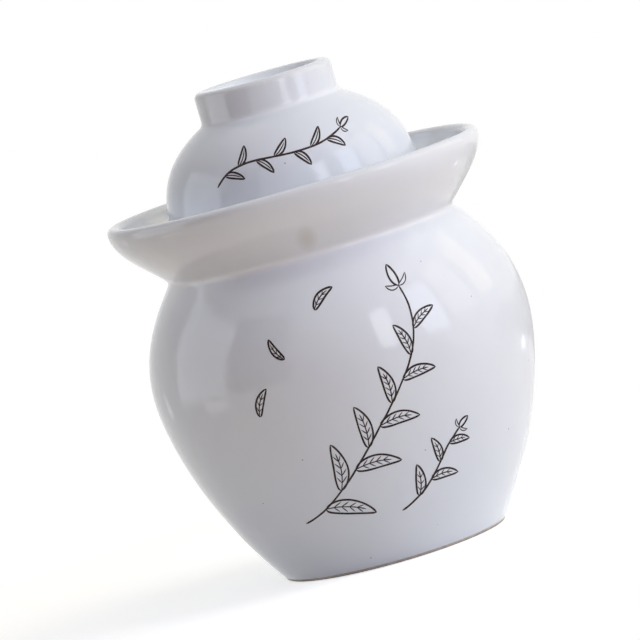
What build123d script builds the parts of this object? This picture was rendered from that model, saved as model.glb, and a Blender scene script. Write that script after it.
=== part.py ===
from build123d import *
import os

# A water seal pickle jar in millimetres: +Z is up, and the origin is the centre of the foot it stands on.
# Every piece is turned about the Z axis, so each outline is drawn as (radius, height).

# Foot and body of the jar
foot_radius = 59.6
foot_land_width = 8.5
foot_recess_depth = 2.0
foot_rounding = 1.5
belly_radius = 102.3
belly_height = 110.0
body_wall = 5.5
floor_thickness = 7.0
floor_inset = 1.0
floor_rounding = 12.0

# Mouth, moat and flange across the jar, from the mouth outwards
mouth_radius = 49.0
collar_wall = 5.5
water_gap = 10.0
lid_rim_wall = 4.0
moat_margin = 3.5
flange_root_wall = 5.1
flange_reach = 24.3
lip_thickness = 7.0

# Mouth, moat and flange up the jar, from the belly upwards
shoulder_height = 58.5
neck_rise = 6.0
moat_floor_thickness = 6.5
moat_depth = 30.3
collar_stand = 3.2
crease_rounding = 2.5
moat_rounding = 4.0
collar_root_rounding = 2.5
collar_rounding = 1.4
mouth_root_rounding = 3.0

# Lid, a bowl turned over with its foot ring on top
lid_rise = 68.4
lid_crown_wall = 6.0
lid_ceiling_radius = 12.0
lid_rim_rounding = 1.1
lid_ring_radius = 37.2
lid_ring_wall = 6.5
lid_ring_height = 17.4
lid_ring_rounding = 2.6
lid_ring_inner_rounding = 1.8
lid_ring_root_rounding = 1.5
lid_recess_rounding = 3.0

# Inner lid, a disc on the collar with a ring that drops into the mouth and a knob
disc_overhang = 0.7
disc_thickness = 5.0
disc_rounding = 1.4
locating_clearance = 1.2
locating_ring_wall = 4.0
locating_ring_depth = 6.0
locating_ring_rounding = 1.2
knob_radius = 11.0
knob_neck_radius = 7.0
knob_neck_height = 3.5
knob_height = 14.0
knob_root_rounding = 2.0

# Reach of the two handles of each curve, as shares of the curve's own width and height
side_shares = ((0.765, 0.413), (0, 0.193))
shoulder_shares = ((0, 0.52), (0.2, 0.13))
shoulder_inside_shares = ((0, 0.571), (0.5, 0))
flange_shares = ((0.388, 0.31), (0, 0.351))
moat_wall_shares = ((0.2, 0.12), (0, 0.377))
lid_shares = ((0, 0.535), (0.965, 0.2485))
lid_inside_shares = ((0, 0.56), (0.8, 0))
knob_side_shares = ((0.9, 0.1), (0, 0.5))
knob_top_shares = ((0, 0.55), (0.55, 0))
knob_widest_share = 0.45

# Radii that follow from the sizes above
collar_radius = mouth_radius + collar_wall
lid_inside_radius = collar_radius + water_gap
lid_radius = lid_inside_radius + lid_rim_wall
moat_radius = lid_radius + moat_margin
crease_radius = moat_radius + flange_root_wall
lip_radius = crease_radius + flange_reach
locating_radius = mouth_radius - locating_clearance

# Levels that follow from the sizes above
crease_level = belly_height + shoulder_height
moat_level = crease_level + neck_rise
neck_level = moat_level - moat_floor_thickness
lip_crest_level = moat_level + moat_depth
lip_level = lip_crest_level - lip_thickness / 2
collar_level = lip_crest_level + collar_stand
lid_ring_level = moat_level + lid_rise
lid_top_level = lid_ring_level + lid_ring_height
disc_level = collar_level + disc_thickness
knob_top_level = disc_level + knob_height


def bow(start, end, handle_shares):
    """Draw a smooth curve whose handles reach the given shares of its width and height."""
    (start_across, start_up), (end_across, end_up) = handle_shares
    across = end[0] - start[0]
    up = end[1] - start[1]
    start_handle = (start[0] + start_across * across, start[1] + start_up * up)
    end_handle = (end[0] - end_across * across, end[1] - end_up * up)
    return Bezier(start, start_handle, end_handle, end)


def round_edges(part, roundings):
    """Round the circular edges of a turned part that pass through the given (radius, height) places."""
    for (radius, height), rounding in roundings:
        circles = part.edges().filter_by(GeomType.CIRCLE)
        fillet(circles.sort_by_distance((radius, 0, height))[0], rounding)


# The jar: foot, belly, shoulder and the flange and collar with the moat between them
recess_centre = (0, foot_recess_depth)
recess_corner = (foot_radius - foot_land_width, foot_recess_depth)
foot_inner = (foot_radius - foot_land_width, 0)
foot_outer = (foot_radius, 0)
belly = (belly_radius, belly_height)
crease = (crease_radius, crease_level)
lip_outer = (lip_radius, lip_level)
lip_crest = (lip_radius - lip_thickness / 2, lip_crest_level)
lip_inner = (lip_radius - lip_thickness, lip_level)
moat_corner = (moat_radius, moat_level)
collar_root = (collar_radius, moat_level)
collar_outer = (collar_radius, collar_level)
collar_inner = (mouth_radius, collar_level)
mouth_root = (mouth_radius, neck_level)
belly_inside = (belly_radius - body_wall, belly_height)
floor_edge = (foot_radius - floor_inset, foot_recess_depth + floor_thickness)
floor_centre = (0, foot_recess_depth + floor_thickness)

with BuildPart() as jar:
    with BuildSketch(Plane.XZ):
        with BuildLine():
            Polyline(recess_centre, recess_corner, foot_inner, foot_outer)
            bow(foot_outer, belly, side_shares)
            bow(belly, crease, shoulder_shares)
            bow(crease, lip_outer, flange_shares)
            ThreePointArc(lip_outer, lip_crest, lip_inner)
            bow(moat_corner, lip_inner, moat_wall_shares)
            Polyline(moat_corner, collar_root, collar_outer, collar_inner, mouth_root)
            bow(belly_inside, mouth_root, shoulder_inside_shares)
            bow(floor_edge, belly_inside, side_shares)
            Polyline(floor_edge, floor_centre, recess_centre)
        make_face()
    revolve(axis=Axis.Z)
    round_edges(jar, (
        (recess_corner, foot_rounding),
        (foot_inner, foot_rounding),
        (foot_outer, foot_rounding),
        (crease, crease_rounding),
        (moat_corner, moat_rounding),
        (collar_root, collar_root_rounding),
        (collar_outer, collar_rounding),
        (collar_inner, collar_rounding),
        (mouth_root, mouth_root_rounding),
        (floor_edge, floor_rounding),
    ))
jar.part.label = "jar"

# The lid: its rim stands on the moat's floor, and its foot ring is the top of the whole object
lid_rim_inner = (lid_inside_radius, moat_level)
lid_rim_outer = (lid_radius, moat_level)
ring_root = (lid_ring_radius, lid_ring_level)
ring_outer = (lid_ring_radius, lid_top_level)
ring_inner = (lid_ring_radius - lid_ring_wall, lid_top_level)
lid_recess_corner = (lid_ring_radius - lid_ring_wall, lid_ring_level + lid_crown_wall)
lid_recess_centre = (0, lid_ring_level + lid_crown_wall)
ceiling_centre = (0, lid_ring_level)
ceiling_edge = (lid_ceiling_radius, lid_ring_level)

with BuildPart() as lid:
    with BuildSketch(Plane.XZ):
        with BuildLine():
            Line(lid_rim_inner, lid_rim_outer)
            bow(lid_rim_outer, ring_root, lid_shares)
            Polyline(ring_root, ring_outer, ring_inner, lid_recess_corner, lid_recess_centre)
            Polyline(lid_recess_centre, ceiling_centre, ceiling_edge)
            bow(lid_rim_inner, ceiling_edge, lid_inside_shares)
        make_face()
    revolve(axis=Axis.Z)
    round_edges(lid, (
        (lid_rim_inner, lid_rim_rounding),
        (lid_rim_outer, lid_rim_rounding),
        (ring_root, lid_ring_root_rounding),
        (ring_outer, lid_ring_rounding),
        (ring_inner, lid_ring_inner_rounding),
        (lid_recess_corner, lid_recess_rounding),
    ))
lid.part.label = "lid"

# The inner lid: its disc lies on the collar's top, under the lid
disc_under_centre = (0, collar_level)
locating_root = (locating_radius - locating_ring_wall, collar_level)
locating_inner = (locating_radius - locating_ring_wall, collar_level - locating_ring_depth)
locating_outer = (locating_radius, collar_level - locating_ring_depth)
locating_seat = (locating_radius, collar_level)
disc_lower_edge = (collar_radius + disc_overhang, collar_level)
disc_upper_edge = (collar_radius + disc_overhang, disc_level)
knob_root = (knob_neck_radius, disc_level)
knob_neck = (knob_neck_radius, disc_level + knob_neck_height)
knob_widest = (knob_radius, knob_top_level - (knob_height - knob_neck_height) * knob_widest_share)
knob_top = (0, knob_top_level)

with BuildPart() as inner_lid:
    with BuildSketch(Plane.XZ):
        with BuildLine():
            Polyline(disc_under_centre, locating_root, locating_inner, locating_outer, locating_seat)
            Polyline(locating_seat, disc_lower_edge, disc_upper_edge, knob_root, knob_neck)
            bow(knob_neck, knob_widest, knob_side_shares)
            bow(knob_widest, knob_top, knob_top_shares)
            Line(knob_top, disc_under_centre)
        make_face()
    revolve(axis=Axis.Z)
    round_edges(inner_lid, (
        (locating_inner, locating_ring_rounding),
        (locating_outer, locating_ring_rounding),
        (disc_lower_edge, disc_rounding),
        (disc_upper_edge, disc_rounding),
        (knob_root, knob_root_rounding),
    ))
inner_lid.part.label = "inner_lid"

os.makedirs("parts", exist_ok=True)
export_step(jar.part, "parts/jar.step")
export_step(lid.part, "parts/lid.step")
export_step(inner_lid.part, "parts/inner_lid.step")
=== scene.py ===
import math

import bpy
import numpy as np
from mathutils import Matrix, Vector, noise


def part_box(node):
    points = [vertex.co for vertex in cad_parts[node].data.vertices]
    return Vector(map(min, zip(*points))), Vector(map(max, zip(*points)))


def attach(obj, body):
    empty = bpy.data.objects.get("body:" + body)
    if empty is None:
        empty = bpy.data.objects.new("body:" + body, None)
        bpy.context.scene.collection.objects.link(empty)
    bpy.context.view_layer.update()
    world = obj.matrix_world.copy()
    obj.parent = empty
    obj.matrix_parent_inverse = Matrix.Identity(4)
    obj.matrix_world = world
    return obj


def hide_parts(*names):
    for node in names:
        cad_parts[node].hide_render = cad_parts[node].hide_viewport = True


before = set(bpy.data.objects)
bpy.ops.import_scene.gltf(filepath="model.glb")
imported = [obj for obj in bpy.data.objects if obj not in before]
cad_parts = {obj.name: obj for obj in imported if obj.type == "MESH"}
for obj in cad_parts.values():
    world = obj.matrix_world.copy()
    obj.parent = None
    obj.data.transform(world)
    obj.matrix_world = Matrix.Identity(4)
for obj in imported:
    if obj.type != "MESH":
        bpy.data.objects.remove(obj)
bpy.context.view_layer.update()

# Sizes are in metres. Outlines are drawn in (radius, height) and turned about the Z axis.
MM = 0.001

# What the construction gives
jar_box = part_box("jar")
lid_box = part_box("lid")
inner_lid_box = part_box("inner_lid")
belly_radius = jar_box[1].x
collar_level = jar_box[1].z
moat_level = lid_box[0].z
lid_top_level = lid_box[1].z
knob_top_level = inner_lid_box[1].z

# Jar: foot, body, flange and moat
foot_radius = 59.6 * MM
foot_land_width = 8.5 * MM
foot_recess_depth = 2 * MM
foot_rounding = 1.5 * MM
belly_height = 110 * MM
body_wall = 5.5 * MM
floor_thickness = 7 * MM
floor_inset = 1 * MM
floor_rounding = 12 * MM
mouth_radius = 49 * MM
collar_wall = 5.5 * MM
water_gap = 10 * MM
lid_rim_wall = 4 * MM
moat_margin = 3.5 * MM
flange_root_wall = 5.1 * MM
flange_reach = 24.3 * MM
lip_thickness = 7 * MM
neck_rise = 6 * MM
moat_floor_thickness = 6.5 * MM
collar_stand = 3.2 * MM
crease_rounding = 2.5 * MM
moat_rounding = 4 * MM
collar_root_rounding = 2.5 * MM
collar_rounding = 1.4 * MM
mouth_root_rounding = 3 * MM

# Lid
lid_crown_wall = 6 * MM
lid_ceiling_radius = 12 * MM
lid_rim_rounding = 1.1 * MM
lid_ring_radius = 37.2 * MM
lid_ring_wall = 6.5 * MM
lid_ring_height = 17.4 * MM
lid_ring_rounding = 3.4 * MM
lid_ring_inner_rounding = 3 * MM
lid_ring_root_rounding = 3.5 * MM
lid_recess_rounding = 8 * MM
lid_recess_taper = 6 * MM

# Inner lid
disc_overhang = 0.7 * MM
disc_thickness = 5 * MM
disc_rounding = 1.4 * MM
locating_clearance = 1.2 * MM
locating_ring_wall = 4 * MM
locating_ring_depth = 6 * MM
locating_ring_rounding = 1.2 * MM
knob_radius = 11 * MM
knob_neck_radius = 7 * MM
knob_neck_height = 3.5 * MM
knob_height = 14 * MM
knob_widest_share = 0.45
knob_root_rounding = 2 * MM

# Reach of the two handles of each curve, as shares of the curve's own width and height
side_shares = ((0.765, 0.413), (0, 0.193))
shoulder_shares = ((0, 0.52), (0.2, 0.13))
shoulder_inside_shares = ((0, 0.571), (0.5, 0))
flange_shares = ((0.388, 0.31), (0, 0.351))
moat_wall_shares = ((0.2, 0.12), (0, 0.377))
lid_shares = ((0, 0.535), (0.965, 0.2485))
lid_inside_shares = ((0, 0.56), (0.8, 0))
knob_side_shares = ((0.9, 0.1), (0, 0.5))
knob_top_shares = ((0, 0.55), (0.55, 0))

# Radii and levels that follow
collar_radius = mouth_radius + collar_wall
lid_inside_radius = collar_radius + water_gap
lid_radius = lid_inside_radius + lid_rim_wall
moat_radius = lid_radius + moat_margin
crease_radius = moat_radius + flange_root_wall
lip_radius = crease_radius + flange_reach
locating_radius = mouth_radius - locating_clearance
crease_level = moat_level - neck_rise
neck_level = moat_level - moat_floor_thickness
lip_crest_level = collar_level - collar_stand
lip_level = lip_crest_level - lip_thickness / 2
lid_ring_level = lid_top_level - lid_ring_height
disc_level = collar_level + disc_thickness

# Fineness of the turned meshes
around_steps = 256
outer_spacing = 2 * MM
inner_spacing = 4 * MM
arc_steps = 7
curve_steps = 200

# How far glaze creeps off an edge or into a corner, and how softly the painted light of a hollow ends
glaze_creep = 1.6 * MM
painted_light_fade = 4 * MM
painted_light_samples = 9

# What covers a stretch of an outline: glaze, bare clay, or glaze of a hollow that is painted lighter as
# painted light
GLAZE, BARE, PAINTED_LIGHT = 0, 1, 2


def mix(a, b, share):
    """The point that lies a share of the way from a to b."""
    return (a[0] + (b[0] - a[0]) * share, a[1] + (b[1] - a[1]) * share)


def evenly(points, spacing):
    """A path with the same shape and its points about a spacing apart."""
    path = np.array(points)
    lengths = np.concatenate(([0], np.cumsum(np.hypot(*np.diff(path, axis=0).T))))
    count = max(1, math.ceil(lengths[-1] / spacing))
    stops = np.linspace(0, lengths[-1], count + 1)
    return list(zip(np.interp(stops, lengths, path[:, 0]), np.interp(stops, lengths, path[:, 1])))


def bow(start, end, handle_shares, spacing=outer_spacing):
    """Points of a smooth curve whose handles reach the given shares of its width and height."""
    (start_across, start_up), (end_across, end_up) = handle_shares
    across, up = end[0] - start[0], end[1] - start[1]
    first = (start[0] + start_across * across, start[1] + start_up * up)
    second = (end[0] - end_across * across, end[1] - end_up * up)
    points = []
    for i in range(curve_steps + 1):
        t = i / curve_steps
        a, b, c = mix(start, first, t), mix(first, second, t), mix(second, end, t)
        points.append(mix(mix(a, b, t), mix(b, c, t), t))
    return evenly(points, spacing)


def straight(*corners, spacing=inner_spacing):
    """Points along one straight stretch."""
    return evenly(corners, spacing)


def half_round(start, crest, end):
    """Points of the half circle from start over crest to end, all at one distance from its centre."""
    centre = mix(start, end, 0.5)
    radius = crest[1] - centre[1]
    side = 1 if start[0] > end[0] else -1
    angles = [math.pi * i / (2 * arc_steps) for i in range(2 * arc_steps + 1)]
    return [(centre[0] + side * radius * math.cos(a), centre[1] + radius * math.sin(a)) for a in angles]


def outline(*stretches):
    """Join stretches of (points, rounding at the end, cover) into one list of (radius, height, cover)."""
    runs = [[Vector(p) for p in points] for points, _, _ in stretches]
    joined = []
    cut_start = 0.0
    for number, (run, (_, rounding, cover)) in enumerate(zip(runs, stretches)):
        arc, cut_end = [], 0.0
        if rounding:
            following = runs[number + 1]
            before = (run[-1] - run[-2]).normalized()
            after = (following[1] - following[0]).normalized()
            turn = before.angle(after)
            reach = rounding * math.tan(turn / 2)
            corner, weight = run[-1], math.cos(turn / 2)
            cut_end = reach
            start, end = along(run[::-1], reach), along(following, reach)
            for i in range(arc_steps + 1):
                t = i / arc_steps
                parts = (1 - t) ** 2, 2 * weight * t * (1 - t), t ** 2
                arc.append((start * parts[0] + corner * parts[1] + end * parts[2]) / sum(parts))
        kept = [p for p in run if (p - run[0]).length > cut_start and (p - run[-1]).length > cut_end]
        if not cut_start:
            kept.insert(0, run[0])
        joined += [(p.x, p.y, cover) for p in kept + arc]
        cut_start = cut_end
    last = runs[-1][-1]
    joined.append((last.x, last.y, stretches[-1][2]))
    return joined


def along(path, distance):
    """The point of a path at a distance from its start."""
    left = distance
    for a, b in zip(path, path[1:]):
        step = (b - a).length
        if step >= left:
            return a.lerp(b, left / step)
        left -= step
    return path[-1]


def glaze_depths(points):
    """How deep the glaze lies along an outline: 0 on sharp edges, 0.5 on open walls, 1 in tight corners."""
    path = np.array([p[:2] for p in points])
    steps = np.diff(path, axis=0)
    lengths = np.hypot(*steps.T)
    headings = np.unwrap(np.arctan2(steps[:, 1], steps[:, 0]))
    stops = np.concatenate(([0], np.cumsum(lengths)))
    middles = (stops[:-1] + stops[1:]) / 2
    before = np.interp(stops - glaze_creep, middles, headings)
    after = np.interp(stops + glaze_creep, middles, headings)
    return np.clip(0.5 - (after - before) / math.pi, 0, 1)


def painted_light_shares(points):
    """Where the glaze of a hollow is painted lighter as painted light along an outline, with soft ends: 0
    outside it and 1 inside.
    """
    path = np.array([p[:2] for p in points])
    stops = np.concatenate(([0], np.cumsum(np.hypot(*np.diff(path, axis=0).T))))
    marks = [float(p[2] == PAINTED_LIGHT) for p in points]
    shifts = np.linspace(-painted_light_fade, painted_light_fade, painted_light_samples)
    return np.mean([np.interp(stops + shift, stops, marks) for shift in shifts], axis=0)


def turned(name, points, move, materials):
    """Turn a closed outline, which starts and ends on the Z axis, into a closed mesh."""
    vertices, faces, slots = [], [], []
    rings = points[1:-1]
    for radius, height, _ in rings:
        for i in range(around_steps):
            angle = 2 * math.pi * i / around_steps
            vertices.append(move(Vector((radius * math.cos(angle), radius * math.sin(angle), height))))
    for row in range(len(rings) - 1):
        for i in range(around_steps):
            j = (i + 1) % around_steps
            a, b = row * around_steps, (row + 1) * around_steps
            faces.append((a + i, a + j, b + j, b + i))
            slots.append(rings[row][2])
    for end, ring, flip in ((points[0], 0, True), (points[-1], len(rings) - 1, False)):
        vertices.append(Vector((0, 0, end[1])))
        for i in range(around_steps):
            j = (i + 1) % around_steps
            a, b = ring * around_steps + i, ring * around_steps + j
            faces.append((len(vertices) - 1, b, a) if flip else (len(vertices) - 1, a, b))
            slots.append(end[2])
    piece = new_piece(name, vertices, faces, slots, materials)
    for key, shares in (("glaze_depth", glaze_depths(points)), ("painted_light_share", painted_light_shares(points))):
        values = np.concatenate((np.repeat(shares[1:-1], around_steps), shares[[0, -1]]))
        piece.data.attributes.new(key, "FLOAT", "POINT").data.foreach_set("value", values)
    return piece


def new_piece(name, vertices, faces, slots, materials, smooth=True):
    """A mesh object in the scene, shaded smooth unless told otherwise."""
    mesh = bpy.data.meshes.new(name)
    mesh.from_pydata(vertices, [], faces)
    for material in materials:
        mesh.materials.append(material)
    mesh.polygons.foreach_set("material_index", slots)
    mesh.polygons.foreach_set("use_smooth", [smooth] * len(faces))
    mesh.validate()
    mesh.update()
    piece = bpy.data.objects.new(name, mesh)
    bpy.context.scene.collection.objects.link(piece)
    return piece


# Hand work: slow swellings, a lip that isn't quite flat, and no change where the pieces meet or stand.
# Waves of the lip are (waves round the jar, height, turn in degrees).
# Waves of the leaning body are (bows from the foot to lean_level, reach).
swelling_size = 55 * MM
jar_swelling = 0.35 * MM
lid_swelling = 0.25 * MM
lid_noise_offset = Vector((1, 0, 0))
lip_waves = ((1, 0.56 * MM, -30), (2, 0.28 * MM, 131), (3, 0.24 * MM, 126))
lean_waves = ((1, 0.83 * MM), (2, -0.12 * MM), (3, 0.09 * MM))
lean_level = 190 * MM
still_radius = 73 * MM
moving_radius = 82 * MM
lid_still_height = 6 * MM
lid_moving_height = 24 * MM
lid_shift = -0.35 * MM
# The right side's own bows, each as (level, reach, height over which it fades)
right_bows = ((164 * MM, 0.65 * MM, 13 * MM), (122 * MM, -0.5 * MM, 17 * MM),
              (36 * MM, 0.5 * MM, 22 * MM))


def eased(value, low, high):
    """0 below low, 1 above high, and a smooth step between them."""
    t = min(1.0, max(0.0, (value - low) / (high - low)))
    return t * t * (3 - 2 * t)


def uneven_jar(place):
    """Where a point of the evenly turned jar lies on the hand-finished one."""
    radius = math.hypot(place.x, place.y)
    if radius < still_radius:
        return place
    share = eased(radius, still_radius, moving_radius)
    outwards = Vector((place.x, place.y, 0)) / radius
    swell = jar_swelling * noise.noise(place / swelling_size)
    lip = eased(place.z, crease_level, lip_level) * eased(radius, moving_radius, lip_radius - lip_thickness)
    turn = math.atan2(place.y, place.x)
    sway = sum(height * math.cos(waves * turn - math.radians(start)) for waves, height, start in lip_waves)
    rise = math.pi * min(1, place.z / lean_level)
    lean = sum(reach * math.sin(bows * rise) for bows, reach in lean_waves)
    fullness = sum(reach * math.exp(-((place.z - level) / fade) ** 2) for level, reach, fade in right_bows)
    swell += fullness * max(0, outwards.x)
    return place + share * (outwards * swell + Vector((lean, 0, 0))) + Vector((0, 0, lip * sway))


def uneven_lid(place):
    """Where a point of the evenly turned lid lies on the hand-finished one."""
    radius = math.hypot(place.x, place.y)
    share = eased(place.z - moat_level, lid_still_height, lid_moving_height)
    if radius == 0 or share == 0:
        return place
    swell = lid_swelling * noise.noise((place + lid_noise_offset) / swelling_size)
    move = swell * Vector((place.x, place.y, 0)) / radius + Vector((lid_shift, 0, 0))
    return place + share * move


def unmoved(place):
    """A point that stays where the turning left it."""
    return place


# Outlines
foot_inner_radius = foot_radius - foot_land_width
floor_level = foot_recess_depth + floor_thickness
lip_middle_radius = lip_radius - lip_thickness / 2
moat_wall_top = lip_radius - lip_thickness

side_curve = bow((foot_radius, 0), (belly_radius, belly_height), side_shares)
shoulder_curve = bow((belly_radius, belly_height), (crease_radius, crease_level), shoulder_shares)
lid_curve = bow((lid_radius, moat_level), (lid_ring_radius, lid_ring_level), lid_shares)


def jar_outline():
    """The jar from the middle of its underside, up the outside, over flange and collar, and down inside.

    The foot ring is bare clay, a little way up its outside too. All else is glazed.
    """
    recess_corner = (foot_inner_radius, foot_recess_depth)
    crease = (crease_radius, crease_level)
    lip_outer, lip_crest = (lip_radius, lip_level), (lip_middle_radius, lip_crest_level)
    lip_inner = (moat_wall_top, lip_level)
    moat_corner, collar_root = (moat_radius, moat_level), (collar_radius, moat_level)
    collar_top, mouth_top = (collar_radius, collar_level), (mouth_radius, collar_level)
    neck = (mouth_radius, neck_level)
    belly_inside = (belly_radius - body_wall, belly_height)
    floor_edge = (foot_radius - floor_inset, floor_level)
    return outline(
        (straight((0, foot_recess_depth), recess_corner), foot_rounding, GLAZE),
        (straight(recess_corner, (foot_inner_radius, 0)), foot_rounding / 2, BARE),
        (straight((foot_inner_radius, 0), (foot_radius, 0)), foot_rounding, BARE),
        (side_curve[:2], 0, BARE),
        (side_curve[1:], 0, GLAZE),
        (shoulder_curve, crease_rounding, GLAZE),
        (bow(crease, lip_outer, flange_shares), 0, GLAZE),
        (half_round(lip_outer, lip_crest, lip_inner), 0, GLAZE),
        # Painted light: the moat and the outside of the collar are painted lighter than the rest of the
        # glaze
        (bow(moat_corner, lip_inner, moat_wall_shares)[::-1], moat_rounding, PAINTED_LIGHT),
        (straight(moat_corner, collar_root), collar_root_rounding, PAINTED_LIGHT),
        (straight(collar_root, collar_top), collar_rounding, PAINTED_LIGHT),
        (straight(collar_top, mouth_top), collar_rounding, GLAZE),
        (straight(mouth_top, neck), mouth_root_rounding, GLAZE),
        (bow(belly_inside, neck, shoulder_inside_shares, inner_spacing)[::-1], 0, GLAZE),
        (bow(floor_edge, belly_inside, side_shares, inner_spacing)[::-1], floor_rounding, GLAZE),
        (straight(floor_edge, (0, floor_level)), 0, GLAZE),
    )


def lid_outline():
    """The lid from the middle of its ceiling, down inside, round the rim, and up over the foot ring."""
    ceiling_edge = (lid_ceiling_radius, lid_ring_level)
    rim_inner = (lid_inside_radius, moat_level)
    ring_root, ring_outer = (lid_ring_radius, lid_ring_level), (lid_ring_radius, lid_top_level)
    ring_inner = (lid_ring_radius - lid_ring_wall, lid_top_level)
    recess_corner = (lid_ring_radius - lid_ring_wall - lid_recess_taper, lid_ring_level + lid_crown_wall)
    recess_centre = (0, lid_ring_level + lid_crown_wall)
    return outline(
        (straight((0, lid_ring_level), ceiling_edge), 0, GLAZE),
        (bow(rim_inner, ceiling_edge, lid_inside_shares, inner_spacing)[::-1], lid_rim_rounding, GLAZE),
        (straight(rim_inner, (lid_radius, moat_level)), lid_rim_rounding, BARE),
        (lid_curve, lid_ring_root_rounding, GLAZE),
        (straight(ring_root, ring_outer, spacing=outer_spacing), lid_ring_rounding, GLAZE),
        (straight(ring_outer, ring_inner), lid_ring_inner_rounding, GLAZE),
        # Painted light: the recess inside the foot ring is painted lighter than the rest of the glaze
        (straight(ring_inner, recess_corner), lid_recess_rounding, PAINTED_LIGHT),
        (straight(recess_corner, recess_centre), 0, PAINTED_LIGHT),
    )


def inner_lid_outline():
    """The inner lid from the middle of its underside, round its ring and disc, and over the knob."""
    ring_inside = locating_radius - locating_ring_wall
    ring_level = collar_level - locating_ring_depth
    ring_inner, ring_outer = (ring_inside, ring_level), (locating_radius, ring_level)
    ring_inner_root, ring_outer_root = (ring_inside, collar_level), (locating_radius, collar_level)
    disc_radius = collar_radius + disc_overhang
    disc_bottom, disc_top = (disc_radius, collar_level), (disc_radius, disc_level)
    knob_root = (knob_neck_radius, disc_level)
    neck = (knob_neck_radius, disc_level + knob_neck_height)
    widest = (knob_radius, knob_top_level - (knob_height - knob_neck_height) * knob_widest_share)
    knob_spacing = outer_spacing / 2
    return outline(
        (straight((0, collar_level), ring_inner_root), 0, GLAZE),
        (straight(ring_inner_root, ring_inner), locating_ring_rounding, GLAZE),
        (straight(ring_inner, ring_outer), locating_ring_rounding, GLAZE),
        (straight(ring_outer, ring_outer_root), 0, GLAZE),
        (straight(ring_outer_root, disc_bottom), disc_rounding, BARE),
        (straight(disc_bottom, disc_top), disc_rounding, GLAZE),
        (straight(disc_top, knob_root), knob_root_rounding, GLAZE),
        (straight(knob_root, neck), 0, GLAZE),
        (bow(neck, widest, knob_side_shares, knob_spacing), 0, GLAZE),
        (bow(widest, (0, knob_top_level), knob_top_shares, knob_spacing), 0, GLAZE),
    )


# Materials. Tones are linear red, green and blue. A grain is (features per metre, detail) of a noise.
glaze_white = (0.815, 0.83, 0.87)
glaze_pale = (0.785, 0.797, 0.84)
# Pooled glaze in corners, painted lighter there as a painted highlight
pooled_glaze_highlight = (0.90, 0.905, 0.93)
glaze_thin = (0.79, 0.785, 0.795)
# Painted light: the glaze of hollows, painted lighter than the rest
hollow_painted_light = (0.915, 0.925, 0.95)
# Painted light and shade: the jar's copy of the glaze is a little lighter and the lid's a little darker
jar_painted_light_factor = 1.01
lid_painted_shade_factor = 0.98
glaze_cloud = (22, 2)
pale_level = 0.2
white_level = 0.8
# Corner depths over which the pooled glaze and its painted highlight come in
pooled_highlight_depths = (0.55, 0.95)
thin_depths = (0.45, 0.05)
gloss_grain = (35, 2)
gloss_levels = (0.3, 0.7)
glaze_roughness = (0.09, 0.14)
glaze_ior = 1.5

# Bumps as (grain, height, strength). Those of the glaze are ripples from hand work, dimples and orange peel.
glaze_bumps = (((28, 2), 1 * MM, 0.5), ((110, 2), 0.2 * MM, 0.45), ((700, 2), 0.05 * MM, 0.3))

# Iron specks in the glaze, and one painted dark reflection: a grey patch low on the front of the flange
speck_brown = (0.09, 0.06, 0.045)
speck_scale = 56
speck_distances = (0.012, 0.024)
painted_reflection_grey = (0.70, 0.69, 0.69)
painted_reflection_place = Vector((-1 * MM, -85.5 * MM, 178 * MM))
painted_reflection_reach = Vector((6.5 * MM, 14 * MM, 10 * MM))
painted_reflection_fade = (0.25, 1)

# Bare clay and the line drawing; their tones are (level of the noise, colour)
clay_tones = ((0.35, (0.47, 0.41, 0.35)), (0.65, (0.62, 0.55, 0.48)))
clay_grain = (240, 6)
clay_gloss_grain = (400, 2)
clay_roughness = (0.7, 0.95)
clay_bumps = (((1500, 4), 0.2 * MM, 0.6),)
ink_tones = ((0.4, (0.026, 0.011, 0.008)), (0.7, (0.050, 0.027, 0.021)))
ink_grain = (180, 4)
ink_roughness = (0.28, 0.38)
ink_specular = 0.25


def nodes_of(name):
    """A new node material, its tree, its Principled shader and its object coordinates."""
    material = bpy.data.materials.new(name)
    material.use_nodes = True
    tree = material.node_tree
    place = tree.nodes.new("ShaderNodeTexCoord").outputs["Object"]
    return material, tree, tree.nodes["Principled BSDF"], place


def link(tree, source, target):
    """Join two sockets."""
    tree.links.new(source, target)


def noise_node(tree, place, grain):
    """A noise texture of one grain."""
    node = tree.nodes.new("ShaderNodeTexNoise")
    node.inputs["Scale"].default_value, node.inputs["Detail"].default_value = grain
    link(tree, place, node.inputs["Vector"])
    return node.outputs["Fac"]


def ramp_node(tree, value, stops):
    """A colour ramp; stops are (position, colour)."""
    node = tree.nodes.new("ShaderNodeValToRGB")
    while len(node.color_ramp.elements) < len(stops):
        node.color_ramp.elements.new(1)
    for element, (position, colour) in zip(node.color_ramp.elements, stops):
        element.position = position
        element.color = (*colour, 1)
    link(tree, value, node.inputs["Fac"])
    return node.outputs["Color"]


def range_node(tree, value, old, new=(0, 1)):
    """A value moved from an old range to a new one, and held at its ends."""
    node = tree.nodes.new("ShaderNodeMapRange")
    link(tree, value, node.inputs["Value"])
    node.inputs["From Min"].default_value, node.inputs["From Max"].default_value = old
    node.inputs["To Min"].default_value, node.inputs["To Max"].default_value = new
    return node.outputs["Result"]


def mix_node(tree, factor, a, b):
    """A mix of two colours; a and b are sockets or colours."""
    node = tree.nodes.new("ShaderNodeMix")
    node.data_type = "RGBA"
    link(tree, factor, node.inputs["Factor"])
    for key, colour in (("A", a), ("B", b)):
        socket = next(s for s in node.inputs if s.name == key and s.type == "RGBA")
        if isinstance(colour, tuple):
            socket.default_value = (*colour, 1)
        else:
            link(tree, colour, socket)
    return next(s for s in node.outputs if s.type == "RGBA")


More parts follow.
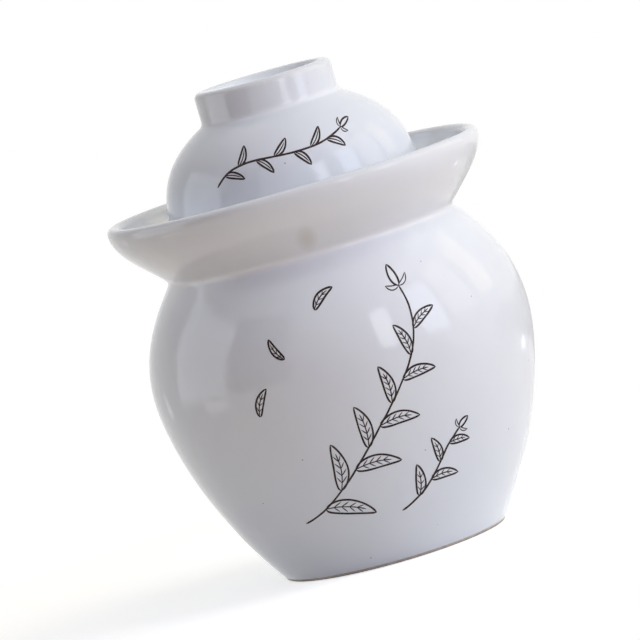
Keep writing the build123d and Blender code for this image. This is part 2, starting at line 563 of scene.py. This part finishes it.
def math_node(tree, operation, a, b):
    """A sum or another operation on two numbers."""
    node = tree.nodes.new("ShaderNodeMath")
    node.operation = operation
    link(tree, a, node.inputs[0])
    link(tree, b, node.inputs[1])
    return node.outputs[0]


def vector_node(tree, operation, vector, other=(0, 0, 0)):
    """The node of an operation on a vector and a constant one, which gives a vector or a number."""
    node = tree.nodes.new("ShaderNodeVectorMath")
    node.operation = operation
    node.inputs[1].default_value = other
    link(tree, vector, node.inputs[0])
    return node


def attribute_node(tree, key):
    """A number that the mesh carries at its points."""
    node = tree.nodes.new("ShaderNodeAttribute")
    node.attribute_name = key
    return node.outputs["Fac"]


def bump_nodes(tree, place, bumps, shader):
    """Stack bumps of (grain, height, strength) onto a shader."""
    normal = None
    for grain, height, strength in bumps:
        node = tree.nodes.new("ShaderNodeBump")
        node.inputs["Distance"].default_value = height
        node.inputs["Strength"].default_value = strength
        link(tree, noise_node(tree, place, grain), node.inputs["Height"])
        if normal:
            link(tree, normal, node.inputs["Normal"])
        normal = node.outputs["Normal"]
    link(tree, normal, shader.inputs["Normal"])


def roughness_nodes(tree, place, grain, levels, roughness, shader):
    """Let a shader's roughness wander between two values."""
    wandering = range_node(tree, noise_node(tree, place, grain), levels, roughness)
    link(tree, wandering, shader.inputs["Roughness"])


def painted_reflection_node(tree, place):
    """1 in the middle of the painted dark reflection, and 0 outside it."""
    shrunk = vector_node(tree, "DIVIDE", place, painted_reflection_reach).outputs["Vector"]
    middle = [a / b for a, b in zip(painted_reflection_place, painted_reflection_reach)]
    away = vector_node(tree, "DISTANCE", shrunk, middle).outputs["Value"]
    return range_node(tree, away, painted_reflection_fade, (1, 0))


def speck_node(tree, place):
    """1 on the specks, and 0 between them."""
    cells = tree.nodes.new("ShaderNodeTexVoronoi")
    cells.inputs["Scale"].default_value = speck_scale
    link(tree, place, cells.inputs["Vector"])
    return range_node(tree, cells.outputs["Distance"], speck_distances, (1, 0))


def glaze_material(name, paleness):
    """White glaze of slowly changing tone and gloss, thin on edges, with iron specks; its painted light and
    shade: a paleness factor, pooled glaze in corners painted lighter as a painted highlight, hollows painted
    lighter, and one painted dark reflection.
    """
    white, pale, pooled, thin = (tuple(paleness * part for part in tone)
                                 for tone in (glaze_white, glaze_pale, pooled_glaze_highlight, glaze_thin))
    material, tree, shader, place = nodes_of(name)
    depth = attribute_node(tree, "glaze_depth")
    tone = ramp_node(tree, noise_node(tree, place, glaze_cloud), ((pale_level, pale), (white_level, white)))
    # Pooled glaze in corners, painted lighter as a painted highlight
    tone = mix_node(tree, range_node(tree, depth, pooled_highlight_depths), tone, pooled)
    tone = mix_node(tree, range_node(tree, depth, thin_depths), tone, thin)
    # Painted dark reflection: a grey patch low on the front of the flange
    tone = mix_node(tree, painted_reflection_node(tree, place), tone, painted_reflection_grey)
    # Painted light: hollows painted lighter than the rest of the glaze
    tone = mix_node(tree, attribute_node(tree, "painted_light_share"), tone, hollow_painted_light)
    tone = mix_node(tree, speck_node(tree, place), tone, speck_brown)
    link(tree, tone, shader.inputs["Base Color"])
    roughness_nodes(tree, place, gloss_grain, gloss_levels, glaze_roughness, shader)
    bump_nodes(tree, place, glaze_bumps, shader)
    shader.inputs["IOR"].default_value = glaze_ior
    return material


def clay_material():
    """Fired clay without glaze: rough, grainy and stained."""
    material, tree, shader, place = nodes_of("bare_clay")
    link(tree, ramp_node(tree, noise_node(tree, place, clay_grain), clay_tones), shader.inputs["Base Color"])
    roughness_nodes(tree, place, clay_gloss_grain, (0, 1), clay_roughness, shader)
    bump_nodes(tree, place, clay_bumps, shader)
    return material


def ink_material():
    """Dark brown line work on the glaze, a little thinner in places."""
    material, tree, shader, place = nodes_of("brown_line")
    link(tree, ramp_node(tree, noise_node(tree, place, ink_grain), ink_tones), shader.inputs["Base Color"])
    roughness_nodes(tree, place, gloss_grain, gloss_levels, ink_roughness, shader)
    shader.inputs["Specular IOR Level"].default_value = ink_specular
    return material


# Painted light and shade: the jar's copy of the glaze is lighter and the lid's darker
glaze = glaze_material("white_glaze_painted_lighter", jar_painted_light_factor)
lid_glaze = glaze_material("white_lid_glaze_painted_darker", lid_painted_shade_factor)
clay = clay_material()
ink = ink_material()

# One material for each of GLAZE, BARE and PAINTED_LIGHT
jar_coats = (glaze, clay, glaze)
lid_coats = (lid_glaze, clay, lid_glaze)

jar = turned("glazed_jar", jar_outline(), uneven_jar, jar_coats)
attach(jar, "jar")
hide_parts("jar")

lid = turned("glazed_lid", lid_outline(), uneven_lid, lid_coats)
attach(lid, "lid")
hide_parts("lid")

inner_lid = turned("glazed_inner_lid", inner_lid_outline(), unmoved, lid_coats)
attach(inner_lid, "inner_lid")
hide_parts("inner_lid")


# Drawing: fine brown lines that lie on the glaze, each one a closed ribbon.
# A drawn point is (way round the front from its middle, height).
line_width = 1.0 * MM
fine_width = 0.6 * MM
line_proud = 0.05 * MM
line_sunk = 0.1 * MM
line_step = 0.8 * MM
line_taper = 1.6 * MM
taper_share = 0.35
press_share = 0.15
wobble = 0.25 * MM
wobble_size = 9 * MM
press_size = wobble_size / 2
press_offset = 1
wobble_offset = Vector((0, 0, 9))
stem_steps = 60

# Lines lie at this many depths in turn, each higher than the last by a share, so that none lies in another
line_layers = 3
layer_share = 0.2

# Leaves and buds: angles in degrees, and shares of their own length or width
leaf_steps = 24
midrib_steps = 20
leaf_fullness = 2.02
leaf_base_power = 0.62
leaf_tip_power = 0.85
first_vein_share = 0.16
veined_share = 0.6
vein_slant_share = 0.13
vein_reach_share = 0.72
leaf_angle = 48
leaf_bend = 0.09
loose_leaf_width_share = 0.36
loose_leaf_bend = 0.12
bud_width_share = 0.45
bud_bend = 0.04
sepal_angle = 62
sepal_length_share = 0.62
sepal_width_share = 0.24
sepal_bend = 0.16

# What is drawn: the stems' handles, their leaves, and the loose leaves as (base, heading, length)
tall_stem = ((-44 * MM, 34 * MM), (-6 * MM, 44 * MM), (6 * MM, 92 * MM), (52 * MM, 98 * MM),
             (38 * MM, 142 * MM))
short_stem = ((8 * MM, 28 * MM), (30 * MM, 36 * MM), (34 * MM, 52 * MM), (50 * MM, 62 * MM))
garland_stem = ((-40 * MM, 213 * MM), (-22 * MM, 232 * MM), (6 * MM, 212 * MM), (34 * MM, 226 * MM))
loose_leaves = (
    ((-52 * MM, 96 * MM), 60, 16 * MM),
    ((-30 * MM, 122 * MM), 115, 13 * MM),
    ((-8 * MM, 142 * MM), 35, 15 * MM),
)
tall_leaves = dict(count=9, first_side=-1, start=0.10, spacing=0.093, length=27 * MM, shorter=1.3 * MM,
                   width=10.5 * MM, narrower=0.5 * MM, veins=4)
short_leaves = dict(count=4, first_side=1, start=0.22, spacing=0.2, length=17 * MM, shorter=1.5 * MM,
                    width=7 * MM, narrower=0.5 * MM, veins=3)
garland_leaves = dict(count=7, first_side=-1, start=0.1, spacing=0.13, length=11 * MM, shorter=0,
                      width=4.2 * MM, narrower=0, veins=0)
loose_veins = 3
tall_bud_length = 12 * MM
small_bud_length = 8 * MM


def on_surface(wall, move):
    """A function that lays a drawn point on a turned wall, or so far proud of it."""
    heights = np.array([p[1] for p in wall])
    radii = np.array([p[0] for p in wall])
    slopes = np.gradient(radii, heights)

    def lay(across, height, proud):
        radius = float(np.interp(height, heights, radii))
        slope = float(np.interp(height, heights, slopes))
        angle = across / radius
        outwards = Vector((math.sin(angle), -math.cos(angle), 0))
        normal = (outwards - Vector((0, 0, slope))).normalized()
        return move(outwards * radius + Vector((0, 0, height))) + normal * proud

    return lay


def sample(path, spacing):
    """A drawn path with points about a spacing apart and a little tremble of the hand."""
    points = []
    for across, height in evenly(path, spacing):
        place = Vector((across, height, 0)) / wobble_size
        sideways, upwards = noise.noise(place), noise.noise(place + wobble_offset)
        points.append((across + wobble * sideways, height + wobble * upwards))
    return points


def ribbons(name, strokes, lay, body):
    """One piece from strokes of (path, width)."""
    vertices, faces = [], []
    for number, (path, width) in enumerate(strokes):
        points = sample(path, line_step)
        flat = np.array(points)
        lengths = np.concatenate(([0], np.cumsum(np.hypot(*np.diff(flat, axis=0).T))))
        headings = np.gradient(flat, axis=0)
        headings /= np.hypot(*headings.T)[:, None]
        proud = line_proud * (1 + layer_share * (number % line_layers))
        first = len(vertices)
        for (across, height), length, (right, up) in zip(points, lengths, headings):
            to_end = min(length, lengths[-1] - length)
            press = 1 + press_share * noise.noise(Vector((across, height, press_offset)) / press_size)
            half = width / 2 * press * (taper_share + (1 - taper_share) * min(1, to_end / line_taper))
            for side, depth in ((1, proud), (-1, proud), (-1, -line_sunk), (1, -line_sunk)):
                vertices.append(lay(across - side * half * up, height + side * half * right, depth))
        for i in range(len(points) - 1):
            a, b = first + 4 * i, first + 4 * (i + 1)
            faces += [(a + k, a + (k + 1) % 4, b + (k + 1) % 4, b + k) for k in range(4)]
        last = len(vertices) - 4
        faces += [(first + 3, first + 2, first + 1, first), (last, last + 1, last + 2, last + 3)]
    piece = new_piece(name, vertices, faces, [0] * len(faces), (ink,), smooth=False)
    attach(piece, body)
    return piece


def stem_path(handles):
    """A smooth path through the handles of one Bezier curve of any order."""
    path = []
    for i in range(stem_steps + 1):
        row, t = list(handles), i / stem_steps
        while len(row) > 1:
            row = [mix(a, b, t) for a, b in zip(row, row[1:])]
        path.append(row[0])
    return path


def leaf(base, heading, length, width, bend, veins=0, edge_width=line_width):
    """Strokes of one pointed leaf: two edges, a midrib and short veins.

    Heading 0 is to the right, and bend is the share of its length by which its middle stands aside.
    """
    along_leaf = (math.cos(math.radians(heading)), math.sin(math.radians(heading)))
    aside = (-along_leaf[1], along_leaf[0])

    def place(share, offset):
        lift = offset + bend * length * 4 * share * (1 - share)
        return tuple(base[k] + along_leaf[k] * length * share + aside[k] * lift for k in (0, 1))

    def half(share):
        return width / 2 * leaf_fullness * share ** leaf_base_power * (1 - share) ** leaf_tip_power

    shares = [i / leaf_steps for i in range(leaf_steps + 1)]
    strokes = [([place(s, side * half(s)) for s in shares], edge_width) for side in (1, -1)]
    strokes.append(([place(s, 0) for s in shares[:midrib_steps]], fine_width))
    for number in range(veins):
        start = first_vein_share + veined_share * number / veins
        end = start + vein_slant_share
        for side in (1, -1):
            tip = place(end, side * vein_reach_share * half(end))
            strokes.append(([place(start, 0), tip], fine_width))
    return strokes


def alternate_leaves(count, first_side, start, spacing, length, shorter, width, narrower, veins):
    """Leaves up a stem, on its two sides in turn, each a step shorter and narrower than the last."""
    return [(start + spacing * i, first_side * (-1) ** i, length - shorter * i, width - narrower * i, veins)
            for i in range(count)]


def sprig(path, leaves, bud_length):
    """A stem with a bud and with leaves at shares of its length: (share, side, length, width, veins)."""
    stem = evenly(path, line_step)
    strokes = [(stem, line_width)]
    for share, side, length, width, veins in leaves:
        index = round(share * (len(stem) - 2))
        base, following = stem[index], stem[index + 1]
        heading = math.degrees(math.atan2(following[1] - base[1], following[0] - base[0]))
        strokes += leaf(base, heading + side * leaf_angle, length, width, -side * leaf_bend, veins)
    tip, before = stem[-1], stem[-4]
    heading = math.degrees(math.atan2(tip[1] - before[1], tip[0] - before[0]))
    strokes += leaf(tip, heading, bud_length, bud_length * bud_width_share, bud_bend)[:2]
    for side in (1, -1):
        sepal = leaf(tip, heading + side * sepal_angle, bud_length * sepal_length_share,
                     bud_length * sepal_width_share, side * sepal_bend, edge_width=fine_width)
        strokes += sepal[:2]
    return strokes


def jar_drawing():
    """A tall leafy sprig that leans to the right, a short one beside it and three loose leaves."""
    strokes = sprig(stem_path(tall_stem), alternate_leaves(**tall_leaves), tall_bud_length)
    strokes += sprig(stem_path(short_stem), alternate_leaves(**short_leaves), small_bud_length)
    for base, heading, length in loose_leaves:
        width = loose_leaf_width_share * length
        strokes += leaf(base, heading, length, width, loose_leaf_bend, loose_veins)
    return strokes


def lid_drawing():
    """A low garland of small leaves."""
    return sprig(stem_path(garland_stem), alternate_leaves(**garland_leaves), small_bud_length)


jar_wall = side_curve + shoulder_curve[1:]
ribbons("jar_print", jar_drawing(), on_surface(jar_wall, uneven_jar), "jar")
ribbons("lid_print", lid_drawing(), on_surface(lid_curve, uneven_lid), "lid")


# Camera: far off, a little above, and rolled as the photograph is. Its sensor and lens are in millimetres.
camera_place = Vector((-5.8 * MM, -3200 * MM, 430 * MM))
camera_target = Vector((-5.8 * MM, 0, 127.5 * MM))
camera_roll = math.radians(-15.9)
camera_sensor = 36
camera_lens = 342.9
camera_range = 100

camera_data = bpy.data.cameras.new("camera")
camera_data.sensor_width = camera_sensor
camera_data.lens = camera_lens
camera_data.clip_end = camera_range
camera = bpy.data.objects.new("camera", camera_data)
bpy.context.scene.collection.objects.link(camera)
look = (camera_target - camera_place).to_track_quat("-Z", "Y").to_matrix().to_4x4()
camera.matrix_world = Matrix.Translation(camera_place) @ look @ Matrix.Rotation(camera_roll, 4, "Z")
bpy.context.scene.camera = camera


# Stage: a pale floor that fades to white, a white world, soft lamps and cards.
# Azimuth 0 is towards the camera and 90 to its right, in degrees, and a radiance of 1 is white.
room_colour = (0.93, 0.96, 1.0)
room_strength = 0.114
floor_radius = 8
floor_steps = 64
floor_near = (0.86, 0.84, 0.80)
floor_far = (0.95, 0.77, 0.55)
floor_far_distances = (0.18, 0.40)
floor_fade_distances = (0.13, 0.38)
floor_paleness = 0.60
floor_grain = (60, 4)
floor_grain_reach = 0.04
floor_roughness = 0.9

# A lamp of LIGHT isn't seen in the glaze, and one of REFLECTION is only seen there.
LIGHT, REFLECTION, BOTH = "light", "reflection", "both"
lamp_target = Vector((0, 0, 120 * MM))

# Name, azimuth, elevation, distance, (width, height), radiance, colour, use
lamps = (
    ("window_one", 28.7, 15, 1.8, (0.35, 0.95), 3.3, (0.92, 0.95, 1.0), REFLECTION),
    ("window_one_light", 28.7, 15, 1.85, (0.35, 0.95), 2.28, (0.82, 0.83, 1.0), LIGHT),
    ("window_two", 58.9, 17, 1.8, (0.54, 1.10), 2.8, (0.74, 0.83, 1.0), BOTH),
    ("window_three", 82.9, 21.5, 1.8, (0.63, 1.05), 1.13, (0.99, 1.0, 0.78), BOTH),
    ("window_four", 108.9, 22, 1.8, (0.54, 0.88), 1.05, (1.0, 0.84, 0.42), BOTH),
    ("high_pane", 61, 43, 1.8, (0.58, 0.28), 1.0, (0.9, 0.95, 1.0), REFLECTION),
    ("high_strip", 92, 46, 1.8, (0.75, 0.16), 0.7, (0.9, 0.95, 1.0), REFLECTION),
    ("window_glow", 62, 16, 1.5, (1.5, 1.1), 1.0, (0.62, 0.70, 1.0), LIGHT),
    ("skylight", 75, 50, 1.5, (1.3, 0.8), 2.58, (0.99, 1.0, 0.94), LIGHT),
    ("left_fill", -88, 15, 1.5, (1.5, 1.2), 0.52, (0.86, 0.85, 1.0), LIGHT),
    ("left_high", -88, 42, 1.5, (1.5, 0.9), 0.26, (0.66, 1.0, 0.98), LIGHT),
    ("left_wall", -92.7, 17.2, 0.75, (0.58, 0.61), 0.65, (0.83, 0.90, 1.0), REFLECTION),
    ("left_wall_edge", -92.7, 15.2, 0.78, (0.66, 0.70), 0.55, (0.83, 0.90, 1.0), REFLECTION),
    ("left_sill", -80, -10.6, 0.5, (0.14, 0.045), 1.1, (1.0, 1.0, 1.0), REFLECTION),
    ("left_spark", -129, -6.5, 0.6, (0.03, 0.08), 0.9, (1.0, 1.0, 1.0), REFLECTION),
    ("right_spark", 124.4, -16, 0.377, (0.038, 0.016), 2.0, (1.0, 1.0, 1.0), REFLECTION),
    ("front_fill", -5, 35, 1.5, (1.3, 0.8), 0.37, (0.93, 0.75, 1.0), LIGHT),
    ("back_high", 170, 45, 1.5, (1.5, 0.8), 0.6, (0.80, 0.95, 1.0), LIGHT),
    ("ceiling", 0, 90, 1.5, (1.6, 1.6), 0.22, (1.0, 0.85, 0.88), BOTH),
)

# Name, azimuths of the two ends, distance, heights of the two edges, radiance
cards = (
    ("front_card", (-70, -30), 1.2, (5 * MM, 1300 * MM), 0.2),
    ("right_card", (97, 165), 0.5, (2 * MM, 110 * MM), 0.62),
)
card_steps = 24


def lamp(name, azimuth, elevation, distance, size, radiance, colour, use):
    """A soft rectangular lamp that faces the object."""
    a, e = math.radians(azimuth), math.radians(elevation)
    place = Vector((math.sin(a) * math.cos(e), -math.cos(a) * math.cos(e), math.sin(e))) * distance
    data = bpy.data.lights.new(name, "AREA")
    data.shape = "RECTANGLE"
    data.size, data.size_y = size
    data.energy = radiance * math.pi * size[0] * size[1]
    data.color = colour
    light = bpy.data.objects.new(name, data)
    light.location = lamp_target + place
    light.rotation_mode = "QUATERNION"
    light.rotation_quaternion = (-place).to_track_quat("-Z", "Y")
    light.visible_camera = False
    light.visible_diffuse = (use != REFLECTION)
    light.visible_glossy = (use != LIGHT)
    bpy.context.scene.collection.objects.link(light)


def card(name, azimuths, distance, heights, radiance):
    """A curved grey card that only the glaze reflects."""
    start, end = azimuths
    vertices, faces = [], []
    for i in range(card_steps + 1):
        a = math.radians(start + (end - start) * i / card_steps)
        for height in heights:
            vertices.append(Vector((math.sin(a) * distance, -math.cos(a) * distance, height)))
        if i:
            faces.append((2 * i - 2, 2 * i, 2 * i + 1, 2 * i - 1))
    material = bpy.data.materials.new(name)
    material.use_nodes = True
    material.cycles.emission_sampling = "NONE"
    tree = material.node_tree
    tree.nodes.clear()
    grey = tree.nodes.new("ShaderNodeEmission")
    grey.inputs["Strength"].default_value = radiance
    link(tree, grey.outputs[0], tree.nodes.new("ShaderNodeOutputMaterial").inputs["Surface"])
    piece = new_piece(name, vertices, faces, [0] * len(faces), (material,))
    piece.visible_camera = False
    piece.visible_diffuse = False
    piece.visible_transmission = False
    piece.visible_shadow = False


def seen_directly(tree):
    """1 for camera, glossy and transmission rays, and 0 for light that bounces."""
    path = tree.nodes.new("ShaderNodeLightPath")
    total = path.outputs["Is Camera Ray"]
    for key in ("Is Glossy Ray", "Is Transmission Ray"):
        total = math_node(tree, "MAXIMUM", total, path.outputs[key])
    return total


def white_world():
    """Even dim light for the object, behind a white background."""
    world = bpy.data.worlds.new("studio")
    world.use_nodes = True
    bpy.context.scene.world = world
    tree = world.node_tree
    tree.nodes.clear()
    room = tree.nodes.new("ShaderNodeBackground")
    room.inputs["Color"].default_value = (*room_colour, 1)
    room.inputs["Strength"].default_value = room_strength
    white = tree.nodes.new("ShaderNodeBackground")
    white.inputs["Color"].default_value = (1, 1, 1, 1)
    both = tree.nodes.new("ShaderNodeMixShader")
    link(tree, seen_directly(tree), both.inputs["Fac"])
    link(tree, room.outputs[0], both.inputs[1])
    link(tree, white.outputs[0], both.inputs[2])
    link(tree, both.outputs[0], tree.nodes.new("ShaderNodeOutputWorld").inputs["Surface"])


def floor_material():
    """Pale matt floor: it keeps the shadow near the object and fades to the white background further off."""
    material, tree, shader, place = nodes_of("studio_floor")
    away = vector_node(tree, "LENGTH", place).outputs["Value"]
    grain_range = (-floor_grain_reach, floor_grain_reach)
    grain = range_node(tree, noise_node(tree, place, floor_grain), (0, 1), grain_range)
    warmth = math_node(tree, "ADD", range_node(tree, away, floor_far_distances), grain)
    link(tree, mix_node(tree, warmth, floor_near, floor_far), shader.inputs["Base Color"])
    shader.inputs["Roughness"].default_value = floor_roughness
    shader.inputs["Specular IOR Level"].default_value = 0
    pale = tree.nodes.new("ShaderNodeEmission")
    pale.inputs["Strength"].default_value = floor_paleness
    lit = tree.nodes.new("ShaderNodeAddShader")
    link(tree, pale.outputs[0], lit.inputs[0])
    link(tree, shader.outputs[0], lit.inputs[1])
    fade = tree.nodes.new("ShaderNodeMixShader")
    link(tree, range_node(tree, away, floor_fade_distances), fade.inputs["Fac"])
    link(tree, lit.outputs[0], fade.inputs[1])
    link(tree, tree.nodes.new("ShaderNodeEmission").outputs[0], fade.inputs[2])
    seen = tree.nodes.new("ShaderNodeMixShader")
    link(tree, seen_directly(tree), seen.inputs["Fac"])
    link(tree, shader.outputs[0], seen.inputs[1])
    link(tree, fade.outputs[0], seen.inputs[2])
    link(tree, seen.outputs[0], tree.nodes["Material Output"].inputs["Surface"])
    return material


def floor():
    """A round floor."""
    angles = [2 * math.pi * i / floor_steps for i in range(floor_steps)]
    rim = [Vector((floor_radius * math.cos(a), floor_radius * math.sin(a), 0)) for a in angles]
    piece = new_piece("floor", rim, [tuple(range(floor_steps))], [0], (floor_material(),))


for row in lamps:
    lamp(*row)
for row in cards:
    card(*row)
white_world()
floor()
bpy.context.scene.view_settings.view_transform = "Standard"
